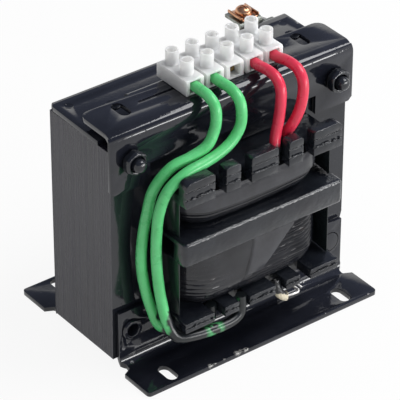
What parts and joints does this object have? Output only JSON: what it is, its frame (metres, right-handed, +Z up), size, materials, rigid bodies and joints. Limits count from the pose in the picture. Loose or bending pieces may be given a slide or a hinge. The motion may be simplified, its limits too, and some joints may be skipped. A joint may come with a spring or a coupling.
{
  "type": "safety isolating transformer",
  "caption": "Open-frame safety isolating transformer: laminated core clamped by bent brackets on slotted feet, split bobbin with windings, screw terminal strip, leads and earth screw.",
  "frame": {"origin": "on the floor plane under the feet, below the middle of the core", "axes": "+X along the core's width, -Y towards the lead side (the front), +Y towards the earth terminal, +Z up"},
  "size_m": [0.1228, 0.0908, 0.1268],
  "materials": {
    "black_lacquer_core": "lacquered laminations, satin",
    "black_lacquer_steel": "thick glossy black lacquer",
    "black_lacquer_plastic": "glossy black lacquer on moulded plastic",
    "lacquered_winding": "copper turns under glossy black lacquer",
    "lacquered_tape": "lacquered woven tape, semi-gloss",
    "insulating_sheet": "lacquered insulating film",
    "white_polyamide": "slightly translucent moulded plastic",
    "brass": "dull brass",
    "zinc_steel": "zinc plated",
    "copper": "copper plated, bright",
    "green_insulation": "soft wire insulation, satin",
    "red_insulation": "soft wire insulation, satin",
    "cream_sleeve": "insulating sleeve, matt",
    "tinned_wire": "bare tinned wire"
  },
  "bodies": {
    "transformer": {"core_e_laminations": "black_lacquer_core", "core_i_laminations": "black_lacquer_core", "front_top_bracket": "black_lacquer_steel", "rear_top_bracket": "black_lacquer_steel", "front_foot_bracket": "black_lacquer_steel", "rear_foot_bracket": "black_lacquer_steel", "clamp_bolt_left": "black_lacquer_steel", "clamp_bolt_right": "black_lacquer_steel", "clamp_nut_left": "black_lacquer_steel", "clamp_nut_right": "black_lacquer_steel", "foot_rivet_left": "black_lacquer_steel", "foot_rivet_right": "black_lacquer_steel", "bobbin": "black_lacquer_plastic", "upper_winding": "lacquered_winding", "lower_winding": "lacquered_winding", "upper_winding_tape": "lacquered_tape", "lower_winding_tape": "lacquered_tape", "upper_left_sheet": "insulating_sheet", "upper_right_sheet": "insulating_sheet", "lower_left_sheet": "insulating_sheet", "lower_right_sheet": "insulating_sheet", "terminal_strip_housing": "white_polyamide", "terminal_clamp_1": "brass", "terminal_clamp_2": "brass", "terminal_clamp_3": "brass", "terminal_clamp_4": "brass", "terminal_clamp_5": "brass", "strip_screw_left": "zinc_steel", "strip_screw_right": "zinc_steel", "earth_tab": "zinc_steel", "green_lead_1": "green_insulation", "green_lead_2": "green_insulation", "red_lead_1": "red_insulation", "red_lead_2": "red_insulation", "winding_end_sleeve": "cream_sleeve", "winding_end_wire": "tinned_wire"},
    "terminal_screw_1_front": {"terminal_screw_1_front": "zinc_steel"},
    "terminal_screw_1_rear": {"terminal_screw_1_rear": "zinc_steel"},
    "terminal_screw_2_front": {"terminal_screw_2_front": "zinc_steel"},
    "terminal_screw_2_rear": {"terminal_screw_2_rear": "zinc_steel"},
    "terminal_screw_3_front": {"terminal_screw_3_front": "zinc_steel"},
    "terminal_screw_3_rear": {"terminal_screw_3_rear": "zinc_steel"},
    "terminal_screw_4_front": {"terminal_screw_4_front": "zinc_steel"},
    "terminal_screw_4_rear": {"terminal_screw_4_rear": "zinc_steel"},
    "terminal_screw_5_front": {"terminal_screw_5_front": "zinc_steel"},
    "terminal_screw_5_rear": {"terminal_screw_5_rear": "zinc_steel"},
    "earth_saddle": {"earth_saddle": "copper"},
    "earth_screw": {"earth_screw": "copper"}
  },
  "joints": [
    {"name": "terminal_screw_1_front_turn", "type": "hinge", "parent": "transformer", "child": "terminal_screw_1_front", "pos_m": [-0.015, -0.0109, 0.1212], "axis": [0, 0, 1], "range_deg": [0, 1080]},
    {"name": "terminal_screw_1_rear_turn", "type": "hinge", "parent": "transformer", "child": "terminal_screw_1_rear", "pos_m": [-0.015, -0.0011, 0.1212], "axis": [0, 0, 1], "range_deg": [0, 1080]},
    {"name": "terminal_screw_2_front_turn", "type": "hinge", "parent": "transformer", "child": "terminal_screw_2_front", "pos_m": [-0.005, -0.0109, 0.1212], "axis": [0, 0, 1], "range_deg": [0, 1080]},
    {"name": "terminal_screw_2_rear_turn", "type": "hinge", "parent": "transformer", "child": "terminal_screw_2_rear", "pos_m": [-0.005, -0.0011, 0.1212], "axis": [0, 0, 1], "range_deg": [0, 1080]},
    {"name": "terminal_screw_3_front_turn", "type": "hinge", "parent": "transformer", "child": "terminal_screw_3_front", "pos_m": [0.005, -0.0109, 0.1212], "axis": [0, 0, 1], "range_deg": [0, 1080]},
    {"name": "terminal_screw_3_rear_turn", "type": "hinge", "parent": "transformer", "child": "terminal_screw_3_rear", "pos_m": [0.005, -0.0011, 0.1212], "axis": [0, 0, 1], "range_deg": [0, 1080]},
    {"name": "terminal_screw_4_front_turn", "type": "hinge", "parent": "transformer", "child": "terminal_screw_4_front", "pos_m": [0.015, -0.0109, 0.1212], "axis": [0, 0, 1], "range_deg": [0, 1080]},
    {"name": "terminal_screw_4_rear_turn", "type": "hinge", "parent": "transformer", "child": "terminal_screw_4_rear", "pos_m": [0.015, -0.0011, 0.1212], "axis": [0, 0, 1], "range_deg": [0, 1080]},
    {"name": "terminal_screw_5_front_turn", "type": "hinge", "parent": "transformer", "child": "terminal_screw_5_front", "pos_m": [0.025, -0.0109, 0.1212], "axis": [0, 0, 1], "range_deg": [0, 1080]},
    {"name": "terminal_screw_5_rear_turn", "type": "hinge", "parent": "transformer", "child": "terminal_screw_5_rear", "pos_m": [0.025, -0.0011, 0.1212], "axis": [0, 0, 1], "range_deg": [0, 1080]},
    {"name": "earth_saddle_lift", "type": "slide", "parent": "transformer", "child": "earth_saddle", "axis": [0, 0, 1], "range_m": [0, 0.0025]},
    {"name": "earth_screw_turn", "type": "hinge", "parent": "earth_saddle", "child": "earth_screw", "pos_m": [0.0443, 0.0286, 0.1091], "axis": [0, 0, 1], "range_deg": [0, 1288]}
  ],
  "couplings": [
    {"joint": "earth_screw_turn", "follows": "earth_saddle_lift", "rad_per_m": 8976}
  ]
}
